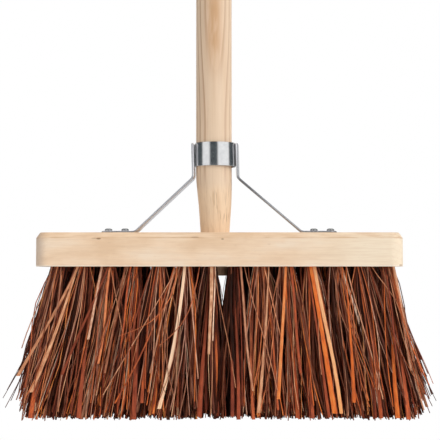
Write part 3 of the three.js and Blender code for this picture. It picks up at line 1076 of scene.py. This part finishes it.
def addLooseStalks(bundle, row, node, chance):
    shape, loose = tuftShape, looseShape
    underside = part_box("stock")[0].z
    root, tip = rootAndTip(node)
    outer = math.copysign(1, tip[1])
    outward = tip[0] / shape["sideLimit"]
    for _ in range(loose["stalks"][row]):
        offset = chance.uniform(-loose["rootSpread"], loose["rootSpread"]) * shape["rootRadius"]
        rootY = root[1] + outer * loose["rootOut"]
        start = np.array([root[0] + offset, rootY, underside + shape["rootDepth"]])
        scatter = loose["scatter"] * (1 - abs(outward))
        endX = withinSides(tip[0] + offset * shape["spreadX"] + chance.gauss(0, scatter))
        endZ = shape["trimLow"] + shape["frontTrim"] + abs(chance.gauss(0, loose["ragged"]))
        endZ += riseAtEnds(endX, chance)
        end = np.array([endX, tip[1] + outer * chance.uniform(*loose["tipOut"]), endZ])
        bow = np.array([chance.gauss(0, loose["bow"]), outer * chance.uniform(0, loose["bowOut"]), 0])
        holdIn(start, end, bow, chance)
        width = chance.uniform(*loose["width"])
        hue = pickHue(0.7, chance)
        bundle.addStalk(
            start, end, (width * loose["rootWidth"], width), loose["thickness"], bow,
            chance.gauss(0, shape["wave"]), chance.gauss(0, loose["turn"]), chance.gauss(0, loose["turn"]),
            chance.uniform(*loose["tone"]), hue, chance.uniform(0, shiftRange),
        )


def addChosen(bundle, stalks, rootY, lean, chance):
    shape = chosenShape
    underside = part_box("stock")[0].z
    for rootX, tipX, tipZ, rootWidth, tipWidth, bow, tone, hue in stalks:
        start = np.array([rootX / 1000, rootY, underside + tuftShape["rootDepth"]])
        fall = (underside - tipZ / 1000) / underside
        tipY = max(rootY - lean * fall, -tuftShape["depthLimit"])
        end = np.array([tipX / 1000, tipY, tipZ / 1000])
        bowed = np.array([bow, shape["forwardBow"], -abs(bow)]) / 1000
        bundle.addStalk(
            start, end, (rootWidth / 1000, tipWidth / 1000), shape["thickness"], bowed,
            chance.gauss(0, shape["wave"]), chance.gauss(0, shape["turn"]), chance.gauss(0, shape["turn"]),
            tone, hue, chance.uniform(0, shiftRange),
        )


def addStrays(bundle, side, chance):
    shape = strayShape
    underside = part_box("stock")[0].z
    half, lean, flare = tuftShape["edge"]
    cap = tuftShape["cap"][0 if side < 0 else 1]
    for _ in range(shape["stalks"][side]):
        fall = chance.uniform(*shape["fall"])
        edge = min(half + lean * fall + flare * fall * fall, cap)
        reach = edge + chance.uniform(*shape["past"][side])
        rootY = chance.uniform(*shape["depth"])
        start = np.array([side * shape["root"], rootY, underside + tuftShape["rootDepth"]])
        end = np.array([side * reach, rootY - fall * chance.uniform(*shape["forward"]), underside - fall])
        bow = np.array([-side * abs(chance.gauss(0, shape["bow"])), 0, 0])
        width = chance.uniform(*shape["width"])
        bundle.addStalk(
            start, end, (width, width), shape["thickness"], bow, chance.gauss(0, shape["wave"]), 0, 0,
            chance.uniform(*shape["tone"]), chance.uniform(*shape["hue"]), chance.uniform(0, shiftRange),
        )


def makeTuftRow(row, seed):
    chance = random.Random(seed)
    nodes = frame["record"]["behaviour"]["bodies"][row]
    bundle = Bundle()
    for node in nodes:
        fillTuft(bundle, row, node, chance)
        if not node.endswith(tuftShape["parted"]):
            addLooseStalks(bundle, row, node, chance)
    for chosen, rootY, lean in chosenStalks[row]:
        addChosen(bundle, chosen, rootY, lean, chance)
    if row == "front_row":
        addStrays(bundle, -1, chance)
        addStrays(bundle, 1, chance)
    stalks = bundle.makePiece(row + "Stalks")
    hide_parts(*nodes)
    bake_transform(stalks)
    print(row, "filled with", len(bundle.points), "stalks")


# Floor and light: a white studio with a wide box light on the right and a narrow one on the left

studio = {
    "floorSize": 30,
    # From and to, in degrees right of the camera; then the strength, and the same in reflections
    "rightBox": (13, 81, 2.2, 1.05),
    "leftBox": (-76, -31, 0.78, 1.0),
    "boxLow": -10,
    "boxHigh": 62,
    "boxSoft": 7,
    "behind": 134,
    "behindSoft": 4,
    "behindStrength": 0.9,
    "above": (60, 75, 0.9),  # fades in between these heights in degrees; strength
    "dim": (0.16, 0.1),  # the rest of the room, and in reflections
}


def makeFloor():
    material, paint = newMaterial("paleFloor")
    seen = paint.node("ShaderNodeLightPath", output="Is Camera Ray")
    card = paint.node("ShaderNodeBsdfDiffuse", values={"Color": (0.82, 0.82, 0.82, 1)})
    glow = paint.node("ShaderNodeEmission", values={"Color": (1, 1, 1, 1), "Strength": 1.0})
    both = paint.node("ShaderNodeMixShader", values={0: seen, 1: card, 2: glow})
    paint.node("ShaderNodeOutputMaterial", values={"Surface": both})
    pickNone()
    bpy.ops.mesh.primitive_plane_add(size=studio["floorSize"])
    floor = bpy.context.object
    floor.name = "paleFloor"
    floor.data.materials.append(material)


def boxLight(paint, turn, lift, mirrored, low, high, strength, mirrorStrength):
    soft = studio["boxSoft"]
    sides = turn.window(low - soft, low + soft) * turn.window(high + soft, high - soft)
    ends = lift.window(studio["boxLow"] - soft, studio["boxLow"] + soft)
    ends = ends * lift.window(studio["boxHigh"] + soft, studio["boxHigh"] - soft)
    return sides * ends * (mirrored * (mirrorStrength - strength) + strength)


def lightStudio():
    scene = bpy.context.scene
    scene.view_settings.view_transform = "Standard"
    world = bpy.data.worlds.new("studio")
    scene.world = world
    world.use_nodes = True
    world.node_tree.nodes.clear()
    paint = Wire(world.node_tree)
    x, y, z = axesOf(paint, paint.node("ShaderNodeTexCoord", output="Generated"))
    seen = paint.node("ShaderNodeLightPath", output="Is Camera Ray")
    mirrored = paint.node("ShaderNodeLightPath", output="Is Glossy Ray")
    degrees = 180 / math.pi
    turn = paint.maths("ARCTAN2", x, y * -1) * degrees
    lift = paint.maths("ARCSINE", z) * degrees
    light = boxLight(paint, turn, lift, mirrored, *studio["rightBox"])
    light = light + boxLight(paint, turn, lift, mirrored, *studio["leftBox"])
    around = paint.maths("ABSOLUTE", turn)
    behind, soft = studio["behind"], studio["behindSoft"]
    light = light + around.window(behind - soft, behind + soft) * studio["behindStrength"]
    dim, mirrorDim = studio["dim"]
    aboveFrom, aboveTo, above = studio["above"]
    light = light + lift.window(aboveFrom, aboveTo) * above + mirrored * (mirrorDim - dim) + dim
    light = light * (1 - seen) + seen  # the camera itself sees plain white
    # The unlit parts of the room are bluish
    tint = light.colours((0.1, (0.86, 1.0, 1.08)), (0.5, (1, 1, 1)))
    sky = paint.node("ShaderNodeBackground", values={"Color": tint, "Strength": light})
    paint.node("ShaderNodeOutputWorld", values={"Surface": sky})


makeHandle()
makeStock()
makeCollar()
makeStay(-1, "left_stay")
makeStay(1, "right_stay")
makeScrews()
print("wood and steel made")
for seed, row in enumerate(("front_row", "middle_row", "back_row"), start=7):
    makeTuftRow(row, seed)
makeFloor()
lightStudio()
print("studio lit")
